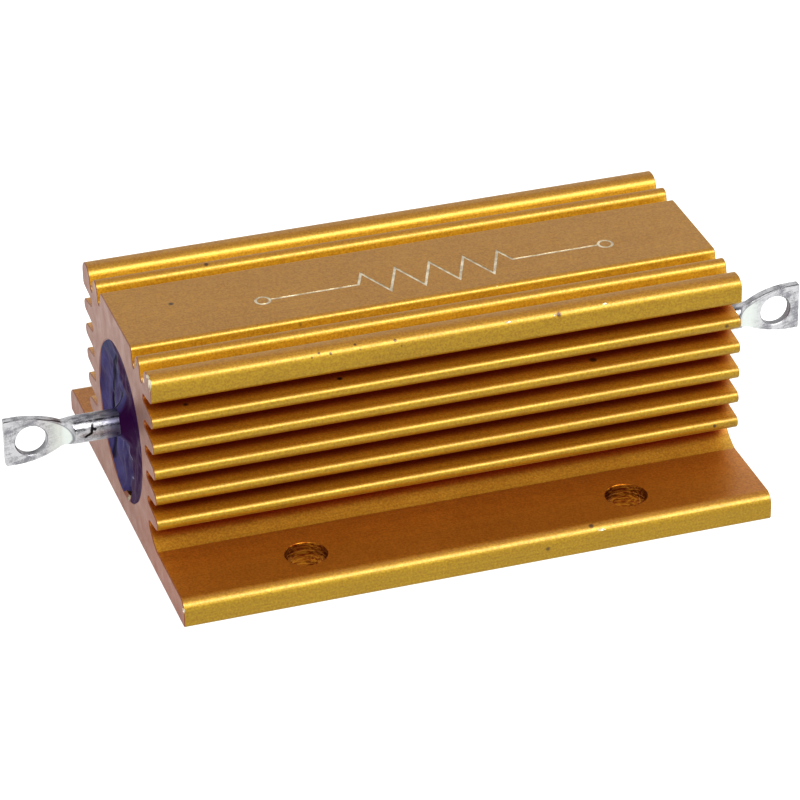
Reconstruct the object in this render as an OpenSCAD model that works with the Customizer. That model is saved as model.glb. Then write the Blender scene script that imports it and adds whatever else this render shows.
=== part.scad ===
// Aluminium housed wirewound power resistor.
// A finned, flanged aluminium extrusion holds a wire-wound ceramic core in moulded filling.
// A tinned pin welded to each end cap leaves through a blue end seal and is pressed flat
// into a solder lug. The length runs along X and the mounting face lies on Z = 0.

/* [Housing] */
// Length of the extruded housing
housing_len = 63.8; // [46:0.1:120]
// Overall height above the mounting face
housing_h = 23.6; // [22.8:0.1:28]
// Width across the side fins
body_w = 27.8; // [25.6:0.1:32]
// Width across the base flange
base_w = 47; // [43.5:0.5:60]
// Thickness of the base flange
flange_t = 2.95; // [2:0.05:3.8]
// Radius along the flange's upper outer edges
flange_edge_r = 1.3; // [0.3:0.1:1.8]
// Radius along the flange's lower outer edges
base_edge_r = 0.3; // [0.1:0.05:0.8]
// Radius of the toe that runs from the lowest groove out to the flange
toe_r = 8; // [3:0.25:12]

/* [Mounting holes] */
// Diameter of the mounting holes
hole_d = 4.4; // [2.5:0.1:5]
// Distance between hole centres along the housing
hole_pitch_x = 35; // [20:0.5:40]
// Distance between hole centres across the housing
hole_pitch_y = 37; // [33.5:0.25:41]

/* [Side fins] */
// Number of fins on each side, as far as the height has room for them
side_fins = 5; // [3:1:5]
// Distance from one side fin to the next
fin_pitch = 3; // [2.6:0.05:3.8]
// Thickness of a side fin at its rounded tip
fin_tip_t = 1.4; // [0.8:0.05:1.8]
// Depth of the side grooves below the fin tips
side_groove_depth = 3.55; // [2:0.05:4]
// Width of the round bottom of every groove
groove_bottom_w = 1; // [0.5:0.05:1.1]

/* [Top face] */
// Width of the flat panel along the middle of the top
panel_w = 12.7; // [8:0.1:14]
// Depth of the panel below the tops of the rails
panel_drop = 0.2; // [0.05:0.05:0.4]
// Radius along the panel's edges
panel_edge_r = 0.6; // [0.2:0.05:0.8]
// Thickness of the thin top fins at their rounded tips
top_fin_t = 1.7; // [1:0.05:2]
// Width of the top grooves at their mouths
top_groove_w = 1.45; // [1.15:0.05:1.8]
// Depth of the top grooves
top_groove_depth = 2.2; // [1.6:0.05:2.8]
// Height of the outer rails, from the top face to their underside
rail_h = 3; // [2.6:0.05:4]
// Radius along the upper edges of the outer rails
rail_edge_r = 1.3; // [0.3:0.05:1.45]
// Radius along the lower outer edges of the outer rails
rail_foot_r = 0.65; // [0.3:0.05:1]

/* [Bore] */
// Diameter of the bore through the housing
bore_d = 17; // [14:0.1:18.5]
// Height of the bore's axis above the mounting face
axis_z = 11.25; // [10.65:0.05:12.4]
// Bevel on the rim of the bore at each end
bore_bevel = 0.3; // [0.1:0.05:0.6]

/* [Wound core] */
// Diameter of the ceramic core
core_d = 10.6; // [7:0.1:12]
// Distance from each end of the housing to the outer face of the end cap
cap_inset = 6; // [4.6:0.1:9]
// Wall of the pressed end caps
cap_wall = 0.5; // [0.3:0.05:0.8]
// Length of core that each end cap grips
cap_grip = 5; // [3:0.1:8]
// Diameter of the resistance wire
wire_d = 0.6; // [0.3:0.05:0.8]
// Distance from one turn of wire to the next
wire_pitch = 1.8; // [1:0.05:3]
// Length of wire lapped over each end cap
wire_lap = 2; // [1:0.1:2.8]

/* [End seals] */
// Depth that each end seal fills, from the end of the housing
seal_depth = 3.6; // [2.4:0.1:4.4]
// Distance of the seal's rim below the end of the housing
seal_recess = 0.4; // [0.1:0.05:1]
// Depth of the dish in the seal's face, at its middle
seal_dish = 0.9; // [0.2:0.05:1.2]
// Width of the seal's fillet that creeps out along the pin
seal_creep = 0.7; // [0.2:0.05:1.2]

/* [Terminals] */
// Diameter of the round pin
pin_d = 3; // [2:0.1:3.8]
// Distance from the end of the housing to the outer end of the lug
lug_reach = 12.45; // [11:0.05:20]
// Distance from the end of the housing to where the lug has its full thinness
press_end = 6.4; // [4:0.1:7]
// Radius that the press leaves between the pin and the lug
press_r = 1.3; // [1.2:0.05:2.2]
// Width of the lug
lug_w = 5.2; // [4.6:0.05:7]
// Thickness of the lug
lug_t = 0.9; // [0.5:0.05:1.3]
// Length of the lug's straight-sided outer end
lug_straight = 1; // [0.6:0.1:3]
// Radius on the lug's outer corners
lug_corner_r = 0.25; // [0.1:0.05:0.5]
// Diameter of the hole in the lug
lug_hole_d = 3.4; // [2:0.1:3.8]
// Distance from the lug's outer end to the centre of its hole
lug_hole_inset = 2.8; // [2.4:0.05:4]

/* [Fits] */
// Clearance left around pieces that are pressed or moulded into each other
fit_gap = 0.02; // [0.01:0.01:0.05]

/* [Hidden] */
$fn = 72;
// Extra length that a cut has beyond the face it starts from
over = 1;
// Depth that a straight line runs into the arc it touches, so that the two always join
JOIN = 0.001;

// Least height of the lowest groove above the flange
TOE_MIN_H = 1.3;

// Half of the housing's length
end_x = housing_len / 2;

// Side grooves: the first lies under the rail, the last one runs into the toe
groove_r = groove_bottom_w / 2;
fin_tip_r = fin_tip_t / 2;
side_mouth = fin_pitch - fin_tip_t;
first_groove_z = housing_h - rail_h - side_mouth / 2;
fin_room = first_groove_z - flange_t - TOE_MIN_H;
fin_count = min(side_fins, floor(fin_room / fin_pitch));
last_groove_z = first_groove_z - fin_count * fin_pitch;

// Toe: an arc tangent to the flange and to the round bottom of the last groove
last_bottom = [body_w / 2 - side_groove_depth + groove_r, last_groove_z];
toe_arc_r = max(toe_r, last_groove_z - flange_t);
toe_drop = flange_t + toe_arc_r - last_groove_z;
toe_reach = toe_arc_r - groove_r + JOIN;
toe_centre = [last_bottom.x + sqrt(toe_reach * toe_reach - toe_drop * toe_drop),
              flange_t + toe_arc_r - JOIN];
toe_touch_x = last_bottom.x - (toe_centre.x - last_bottom.x) * (groove_r - JOIN) / toe_reach;
flange_r = min(flange_edge_r, flange_t - base_edge_r);

// Top grooves, one on each side of each thin top fin
inner_groove_y = panel_w / 2 + top_groove_w / 2;
outer_groove_y = inner_groove_y + top_groove_w + top_fin_t;
rail_w = body_w / 2 - outer_groove_y - top_groove_w / 2;
rail_r = min(rail_edge_r, rail_w / 2);

// Wound core
cap_face_x = end_x - cap_inset;
core_end_x = cap_face_x - cap_wall;
cap_rim_x = core_end_x - cap_grip;
cap_outer_r = core_d / 2 + fit_gap + cap_wall;
wire_r = wire_d / 2;
// Straight segments in each turn of wire, and sides of the wire
TURN_SEGMENTS = 18;
WIRE_SIDES = 5;
// The segments' middles dip towards the core, so the wire is laid a little further out
chord_dip = 1 / cos(180 / TURN_SEGMENTS);
core_lay_r = (core_d / 2 + fit_gap + wire_r) * chord_dip;
cap_lay_r = (cap_outer_r + fit_gap + wire_r) * chord_dip;
climb_end_x = cap_rim_x - wire_d;
climb_start_x = climb_end_x - wire_pitch / 2;
winding_end_x = cap_rim_x + wire_lap;

// End seals and filling
seal_inner_x = end_x - seal_depth;
seal_face_x = end_x - seal_recess;
seal_r = bore_d / 2 - fit_gap;
dish_r = (seal_r * seal_r + seal_dish * seal_dish) / (2 * seal_dish);

// Terminals
// Step in from the pin's surface to the neck of the lug
NECK_STEP = 0.1;
pin_r = pin_d / 2;
press_x = end_x + press_end;
lug_end_x = end_x + lug_reach;
straight_x = lug_end_x - lug_straight;
neck_h = pin_r - NECK_STEP;
flare_drop = lug_w / 2 - neck_h;
flare_run = straight_x - press_x;
flare_r = (flare_run * flare_run + flare_drop * flare_drop) / (2 * flare_drop);
lug_hole_x = lug_end_x - lug_hole_inset;

// ---- Section of the housing, drawn in the Y-Z plane ----

// What a rounded edge takes off a square corner that points to +X and +Y
module edge_cut(r) {
    translate([-r, -r]) difference() {
        square(r + over);
        circle(r = r);
    }
}

// Lean of a flank that touches a round groove bottom and a rounded lip;
// the lip's centre lies "side" across and "rise" above the bottom's centre
function flank_lean(side, rise, radii) = acos(radii / norm([side, rise])) - atan2(rise, side);

// One half of a groove cut down from Y = 0, with its centreline on X = 0: a round bottom,
// a flank on the +X side and the rounded lip above it, whose top may lie lower than Y = 0;
// it laps a little past the centreline
module half_groove(mouth, depth, lip_r, lip_drop = 0) {
    bottom = [0, groove_r - depth];
    lip = [mouth / 2 + lip_r, -lip_r - lip_drop];
    lean = flank_lean(lip.x, lip.y - bottom.y, groove_r + lip_r - 2 * JOIN);
    outward = [cos(lean), -sin(lean)];
    overlap_x = -groove_r / 2;
    translate(bottom) circle(r = groove_r);
    difference() {
        polygon([[overlap_x, bottom.y], bottom, bottom + (groove_r - JOIN) * outward,
                 lip - (lip_r - JOIN) * outward, lip, [lip.x, over], [overlap_x, over]]);
        translate(lip) circle(r = lip_r);
    }
}

module groove(mouth, depth, lip_r, other_lip_r, other_lip_drop = 0) {
    half_groove(mouth, depth, lip_r);
    mirror([1, 0]) half_groove(mouth, depth, other_lip_r, other_lip_drop);
}

// Grooves between the rail, the side fins and the toe; +X of a groove faces down here
module side_grooves() {
    for (i = [0 : fin_count - 1])
        translate([body_w / 2, first_groove_z - i * fin_pitch]) rotate(-90)
            groove(side_mouth, side_groove_depth, fin_tip_r, i == 0 ? rail_foot_r : fin_tip_r);
    translate([body_w / 2, last_groove_z]) rotate(-90) mirror([1, 0])
        half_groove(side_mouth, side_groove_depth, fin_tip_r);
}

// Space above the flange, down to the toe and the flange's upper face
module toe_cut() {
    cut_h = last_groove_z + groove_r / 2 - flange_t;
    intersection() {
        translate(toe_centre) circle(r = toe_arc_r);
        translate([toe_touch_x, flange_t]) square([toe_centre.x - toe_touch_x, cut_h]);
    }
    translate([toe_centre.x - JOIN, flange_t])
        square([base_w / 2 - toe_centre.x + over, cut_h]);
}

module top_grooves() {
    translate([inner_groove_y, housing_h])
        groove(top_groove_w, top_groove_depth, top_fin_t / 2, panel_edge_r, panel_drop);
    translate([outer_groove_y, housing_h])
        groove(top_groove_w, top_groove_depth, rail_r, top_fin_t / 2);
}

// Space above the panel, between its two rounded edges
module panel_cut() {
    cut_w = panel_w - panel_edge_r;
    translate([-cut_w / 2, housing_h - panel_drop - JOIN]) square([cut_w, panel_drop + over]);
}

module housing_section() {
    difference() {
        union() {
            translate([-base_w / 2, 0]) square([base_w, last_groove_z]);
            translate([-body_w / 2, 0]) square([body_w, housing_h]);
        }
        panel_cut();
        for (side = [0, 1]) mirror([side, 0]) {
            side_grooves();
            toe_cut();
            top_grooves();
            translate([body_w / 2, housing_h]) edge_cut(rail_r);
            translate([base_w / 2, flange_t]) edge_cut(flange_r);
            translate([base_w / 2, 0]) mirror([0, 1]) edge_cut(base_edge_r);
        }
    }
}

// ---- Helpers ----

// Turns a shape drawn along Z so that it lies along the bore's axis
module on_axis() {
    translate([0, 0, axis_z]) rotate([0, 90, 0]) children();
}

// Left-hand copy of a piece drawn for the right-hand end
module left_hand() {
    rotate([0, 0, 180]) children();
}

// ---- Pieces ----

module housing() {
    color([0.72, 0.53, 0.2]) difference() {
        rotate([90, 0, 90]) linear_extrude(housing_len, center = true) housing_section();
        on_axis() cylinder(h = housing_len + 2 * over, d = bore_d, center = true);
        for (side = [0, 1]) mirror([side, 0, 0]) on_axis()
            translate([0, 0, end_x - bore_bevel])
                cylinder(h = 2 * bore_bevel, r1 = bore_d / 2, r2 = bore_d / 2 + 2 * bore_bevel);
        for (x = [-1, 1], y = [-1, 1])
            translate([x * hole_pitch_x / 2, y * hole_pitch_y / 2, -over])
                cylinder(h = flange_t + 2 * over, d = hole_d);
    }
}

module ceramic_core() {
    color([0.9, 0.88, 0.82]) on_axis() cylinder(h = 2 * core_end_x, d = core_d, center = true);
}

// Cup pressed over the end of the core
module end_cap() {
    color([0.7, 0.7, 0.68]) on_axis() translate([0, 0, cap_rim_x]) difference() {
        cylinder(h = cap_grip + cap_wall, r = cap_outer_r);
        translate([0, 0, -over]) cylinder(h = cap_grip + over, r = core_d / 2 + fit_gap);
    }
}

module end_cap_left() { left_hand() end_cap(); }
module end_cap_right() { end_cap(); }

// Radius of the wire's centreline: it lies on the core, and climbs onto each cap
function lay_r(x) = lookup(abs(x), [[climb_start_x, core_lay_r], [climb_end_x, cap_lay_r]]);

// Corners of the wire's cross-section at one step of the helix
function wire_ring(x, turn) = [
    for (k = [0 : WIRE_SIDES - 1])
        let (a = 360 * k / WIRE_SIDES, r = lay_r(x) + wire_r * cos(a))
            [x + wire_r * sin(a), r * cos(turn), axis_z + r * sin(turn)]
];

module resistance_winding() {
    steps = floor(2 * winding_end_x / wire_pitch * TURN_SEGMENTS);
    points = [
        for (i = [0 : steps], p = wire_ring(-winding_end_x + i * wire_pitch / TURN_SEGMENTS,
                                            -360 * i / TURN_SEGMENTS)) p
    ];
    sides = [
        for (i = [0 : steps - 1], k = [0 : WIRE_SIDES - 1])
            let (a = i * WIRE_SIDES, b = a + WIRE_SIDES, next = (k + 1) % WIRE_SIDES)
                [a + k, b + k, b + next, a + next]
    ];
    first = [for (k = [0 : WIRE_SIDES - 1]) k];
    last = [for (k = [WIRE_SIDES - 1 : -1 : 0]) steps * WIRE_SIDES + k];
    color([0.55, 0.52, 0.48]) polyhedron(points, concat(sides, [first], [last]), convexity = 20);
}

// Compound between the wound core and the bore, stepped in to each piece that it surrounds
module moulded_filling() {
    pin_hole_r = pin_r + fit_gap;
    cap_hole_r = cap_outer_r + fit_gap;
    lap_hole_r = cap_lay_r + wire_r + fit_gap;
    wire_hole_r = core_lay_r + wire_r + fit_gap;
    lap_x = winding_end_x + wire_d;
    step_x = climb_start_x - wire_d;
    half = [
        [wire_hole_r, step_x], [lap_hole_r, step_x], [lap_hole_r, lap_x], [cap_hole_r, lap_x],
        [cap_hole_r, cap_face_x], [pin_hole_r, cap_face_x], [pin_hole_r, seal_inner_x],
        [seal_r, seal_inner_x]
    ];
    other_half = [for (i = [len(half) - 1 : -1 : 0]) [half[i].x, -half[i].y]];
    color([0.62, 0.6, 0.56]) on_axis() rotate_extrude() polygon(concat(half, other_half));
}

// Dished disc of sealing compound with a fillet that creeps out along the pin
module end_seal() {
    color([0.16, 0.17, 0.36]) on_axis() difference() {
        union() {
            difference() {
                translate([0, 0, seal_inner_x])
                    cylinder(h = seal_face_x - seal_inner_x + JOIN, r = seal_r);
                translate([0, 0, seal_face_x - seal_dish + dish_r]) sphere(r = dish_r, $fn = 180);
            }
            translate([0, 0, seal_inner_x])
                cylinder(h = seal_face_x - seal_dish - seal_inner_x, r = pin_r + 2 * seal_creep);
            translate([0, 0, seal_face_x - seal_dish])
                cylinder(h = seal_creep, r1 = pin_r + seal_creep, r2 = pin_r + seal_creep / 3);
        }
        translate([0, 0, seal_inner_x - over])
            cylinder(h = seal_depth + 2 * over + seal_creep, r = pin_r + fit_gap);
    }
}

module end_seal_left() { left_hand() end_seal(); }
module end_seal_right() { end_seal(); }

// Side view of the lug, drawn in the X-Z plane about the pin's axis
module lug_outline() {
    translate([press_x - lug_t, -neck_h / 2]) square([lug_t + JOIN, neck_h]);
    intersection() {
        translate([straight_x, lug_w / 2 - flare_r + JOIN]) circle(r = flare_r, $fn = 180);
        translate([straight_x, flare_r - lug_w / 2 - JOIN]) circle(r = flare_r, $fn = 180);
        translate([press_x, -lug_w / 2]) square([flare_run, lug_w]);
    }
    difference() {
        translate([straight_x - JOIN, -lug_w / 2]) square([lug_straight + JOIN, lug_w]);
        for (side = [0, 1]) mirror([0, side])
            translate([lug_end_x, lug_w / 2]) edge_cut(lug_corner_r);
    }
}

// Round pin, pressed flat and pierced at its outer end
module terminal() {
    color([0.8, 0.8, 0.8]) translate([0, 0, axis_z]) difference() {
        union() {
            difference() {
                translate([cap_face_x, 0, 0]) rotate([0, 90, 0])
                    cylinder(h = press_x - cap_face_x, d = pin_d);
                for (side = [-1, 1])
                    translate([press_x, side * (lug_t / 2 + press_r), 0])
                        cylinder(h = pin_d + 2 * over, r = press_r, center = true);
            }
            rotate([90, 0, 0]) linear_extrude(lug_t, center = true) lug_outline();
        }
        translate([lug_hole_x, 0, 0]) rotate([90, 0, 0])
            cylinder(h = lug_t + 2 * over, d = lug_hole_d, center = true);
    }
}

module terminal_left() { left_hand() terminal(); }
module terminal_right() { terminal(); }

housing();
ceramic_core();
resistance_winding();
end_cap_left();
end_cap_right();
moulded_filling();
end_seal_left();
end_seal_right();
terminal_left();
terminal_right();
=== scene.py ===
"""Looks of an aluminium housed power resistor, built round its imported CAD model.

A gold anodised extrusion with side fins and a mounting flange holds a wound ceramic core.
Each end of its bore is closed by a poured blue seal, and a tinned terminal with a pressed
lug stands out of it. All lengths in the classes are millimetres in the row frame: X along
the extrusion, Z up from the mounting face, and the origin in the middle of that face.
"""

from __future__ import annotations

import logging
from collections.abc import Callable
from dataclasses import dataclass, field
from enum import Enum
from functools import cache
from math import asin, atan2, cos, hypot, pi, radians, sin, sqrt

import bmesh
import bpy
from mathutils import Matrix, Vector, noise
from mathutils.geometry import tessellate_polygon


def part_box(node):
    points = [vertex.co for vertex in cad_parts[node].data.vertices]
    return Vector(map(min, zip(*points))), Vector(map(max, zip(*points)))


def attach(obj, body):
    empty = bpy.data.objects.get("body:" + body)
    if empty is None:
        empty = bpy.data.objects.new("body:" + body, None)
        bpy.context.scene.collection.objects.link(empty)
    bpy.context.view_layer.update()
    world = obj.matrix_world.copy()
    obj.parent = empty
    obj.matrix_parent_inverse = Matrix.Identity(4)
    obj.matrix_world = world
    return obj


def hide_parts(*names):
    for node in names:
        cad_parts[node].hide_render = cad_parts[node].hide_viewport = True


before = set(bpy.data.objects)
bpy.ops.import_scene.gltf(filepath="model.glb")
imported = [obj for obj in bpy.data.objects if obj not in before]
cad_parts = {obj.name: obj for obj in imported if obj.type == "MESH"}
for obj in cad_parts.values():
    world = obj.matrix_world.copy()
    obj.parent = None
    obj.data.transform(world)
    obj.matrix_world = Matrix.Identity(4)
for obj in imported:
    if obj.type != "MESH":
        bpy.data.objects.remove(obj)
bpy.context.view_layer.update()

MM = 0.001
BODY = "root"
RIM_SHADE = "Rim"
LOG = logging.getLogger("resistor")

Point2 = tuple[float, float]
Point3 = tuple[float, float, float]
Colour = tuple[float, float, float]
Stroke = tuple[Point2, Point2, float]
Material = bpy.types.Material
Object = bpy.types.Object
Socket = bpy.types.NodeSocket
Sockets = bpy.types.bpy_prop_collection
WHITE: Colour = (1.0, 1.0, 1.0)


# ---------------------------------------------------------------- helpers for numbers


def smooth(low: float, high: float, value: float) -> float:
    """Returns a share that eases from 0 where the value is low to 1 where it is high."""
    share = min(1.0, max(0.0, (value - low) / (high - low)))
    return share * share * (3 - 2 * share)


def mix(a: float, b: float, share: float) -> float:
    """Returns the number that lies share of the way from a to b."""
    return a + (b - a) * share


def apart(degrees: float, other: float) -> float:
    """Returns the angle between two directions, in degrees."""
    return abs((degrees - other + 180) % 360 - 180)


def around(sides: int, spot: Callable[[float], Point3]) -> list[Vector]:
    """Returns the places that spot gives at even angles round a full turn."""
    return [Vector(spot(2 * pi * k / sides)) for k in range(sides)]


# ---------------------------------------------------------------- meshes


@dataclass
class Shape:
    """Vertices and faces of one closed form, in millimetres, with a finish number per face.

    Marks say, for each vertex, how much it lies on a worked rim, which a material may read to paint shade
    along it.
    """

    points: list[Vector] = field(default_factory=list)
    faces: list[tuple[int, ...]] = field(default_factory=list)
    slots: list[int] = field(default_factory=list)
    marks: dict[int, float] = field(default_factory=dict)

    def ring(self, points: list[Vector]) -> list[int]:
        """Adds a run of points.

        Args:
            points: the points, in order.

        Returns:
            The number of each point.
        """
        start = len(self.points)
        self.points.extend(points)
        return list(range(start, start + len(points)))

    def face(self, corners: tuple[int, ...], slot: int = 0) -> None:
        """Adds one face with that finish number."""
        self.faces.append(corners)
        self.slots.append(slot)

    def skin(self, rings: list[list[int]], slots: tuple[int, ...] = ()) -> None:
        """Joins each ring to the next, which has as many points, with four-sided faces.

        Args:
            rings: the rings, in order.
            slots: finish number of each band between two rings, 0 if none is given.
        """
        for band, (a, b) in enumerate(zip(rings, rings[1:])):
            for i in range(len(a)):
                j = (i + 1) % len(a)
                self.face((a[i], a[j], b[j], b[i]), slots[band] if slots else 0)

    def fan(self, rim: list[int], middle: Vector) -> None:
        """Closes a ring with triangles to a new point in its middle.

        Args:
            rim: the ring.
            middle: where the new point goes.
        """
        centre = self.ring([middle])[0]
        for i, corner in enumerate(rim):
            self.face((corner, rim[(i + 1) % len(rim)], centre))

    def object(self, name: str, materials: list[Material]) -> Object:
        """Makes the Blender object of this form, with its faces turned outwards.

        Args:
            name: name of the piece.
            materials: one material for each finish number.

        Returns:
            The new object, linked to the scene.
        """
        mesh = bpy.data.meshes.new(name)
        mesh.from_pydata([p * MM for p in self.points], [], self.faces)
        for material in materials:
            mesh.materials.append(material)
        mesh.polygons.foreach_set("material_index", self.slots)
        if self.marks:
            rim = mesh.attributes.new(RIM_SHADE, "FLOAT", "POINT")
            rim.data.foreach_set("value", [self.marks.get(i, 0.0) for i in range(len(self.points))])
        mesh.validate()
        work = bmesh.new()
        work.from_mesh(mesh)
        bmesh.ops.recalc_face_normals(work, faces=work.faces)
        work.to_mesh(mesh)
        work.free()
        piece = bpy.data.objects.new(name, mesh)
        bpy.context.scene.collection.objects.link(piece)
        return piece


def applied(piece: Object) -> None:
    """Turns the modifiers of a piece into its mesh.

    Args:
        piece: the object, which keeps its name and materials.
    """
    depsgraph = bpy.context.evaluated_depsgraph_get()
    mesh = bpy.data.meshes.new_from_object(
        piece.evaluated_get(depsgraph), preserve_all_data_layers=True, depsgraph=depsgraph
    )
    piece.modifiers.clear()
    piece.data = mesh


def carve(piece: Object, tools: list[Object]) -> None:
    """Cuts each tool out of a piece. The cut faces take the tool's own finish.

    Args:
        piece: the object that is cut.
        tools: closed objects, removed afterwards.
    """
    for tool in tools:
        cut = piece.modifiers.new("cut", "BOOLEAN")
        cut.operation = "DIFFERENCE"
        cut.solver = "EXACT"
        cut.material_mode = "TRANSFER"
        cut.object = tool
    applied(piece)
    for tool in tools:
        bpy.data.objects.remove(tool)


def soften(piece: Object, crease: float) -> None:
    """Shades a piece smooth, with flat faces kept flat and creases kept sharp.

    Args:
        piece: the object to shade.
        crease: edges that turn by more than these degrees stay sharp.
    """
    mesh = piece.data
    mesh.polygons.foreach_set("use_smooth", [True] * len(mesh.polygons))
    mesh.set_sharp_from_angle(angle=radians(crease))
    weigh = piece.modifiers.new("weigh", "WEIGHTED_NORMAL")
    weigh.mode = "FACE_AREA"
    weigh.weight = 50
    weigh.keep_sharp = True
    applied(piece)


def lathe(rings: list[Point2], sides: int, turn: Matrix, hollow: bool = False) -> Shape:
    """Turns a run of (radius, height) steps into a closed round form.

    Args:
        rings: radius and height of each ring, from one end to the other.
        sides: how many sides the form has.
        turn: places the form, whose own axis is Z.
        hollow: joins the last ring to the first, where otherwise both ends are closed.

    Returns:
        The closed form.
    """
    shape = Shape()
    loops = []
    for radius, height in rings:
        circle = around(sides, lambda angle: (radius * cos(angle), radius * sin(angle), height))
        loops.append(shape.ring([turn @ point for point in circle]))
    shape.skin(loops + loops[:1] if hollow else loops)
    for end in () if hollow else (0, -1):
        shape.fan(loops[end], turn @ Vector((0, 0, rings[end][1])))
    return shape


def ribbon(path: list[Point2], width: float, low: float, high: float) -> Shape:
    """Makes an upright strip of even width along a path, with mitred corners.

    Args:
        path: points (x, y) along the middle of the strip.
        width: how wide the strip is.
        low: height of its underside.
        high: height of its upper side.

    Returns:
        The closed strip.
    """
    least_mitre = 0.35
    sides: list[list[Point2]] = [[], []]
    for i, (x, y) in enumerate(path):
        before = Vector(path[i]) - Vector(path[i - 1]) if i else Vector(path[1]) - Vector(path[0])
        after = Vector(path[i + 1]) - Vector(path[i]) if i + 1 < len(path) else before
        along = (before.normalized() + after.normalized()).normalized()
        across = Vector((-along.y, along.x))
        reach = width / 2 / max(least_mitre, along.dot(before.normalized()))
        for side, sign in zip(sides, (1, -1)):
            side.append((x + sign * across.x * reach, y + sign * across.y * reach))
    outline = sides[0] + sides[1][::-1]
    shape = Shape()
    loops = [shape.ring([Vector((x, y, z)) for x, y in outline]) for z in (low, high)]
    shape.skin(loops)
    last = len(outline) - 1
    for ring in loops:
        for i in range(len(path) - 1):
            shape.face((ring[i], ring[i + 1], ring[last - i - 1], ring[last - i]))
    return shape


def pebble(centre: Vector, radii: Vector, seed: float) -> Shape:
    """Makes a rough closed lump, for a knock taken out of an edge.

    Args:
        centre: its middle.
        radii: half its size along each axis.
        seed: picks its bumps.

    Returns:
        The closed lump.
    """
    bands, sides, roughness, closeness = 8, 14, 0.45, 1.9
    rings = [(sin(pi * k / bands), -cos(pi * k / bands)) for k in range(1, bands)]
    shape = lathe(rings, sides, Matrix.Identity(4))
    for i, point in enumerate(shape.points):
        swell = 1 + roughness * noise.noise(point * closeness + Vector((seed, 0, 0)))
        shape.points[i] = centre + Vector([a * b * swell for a, b in zip(point, radii)])
    return shape


# ---------------------------------------------------------------- material nodes


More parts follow.
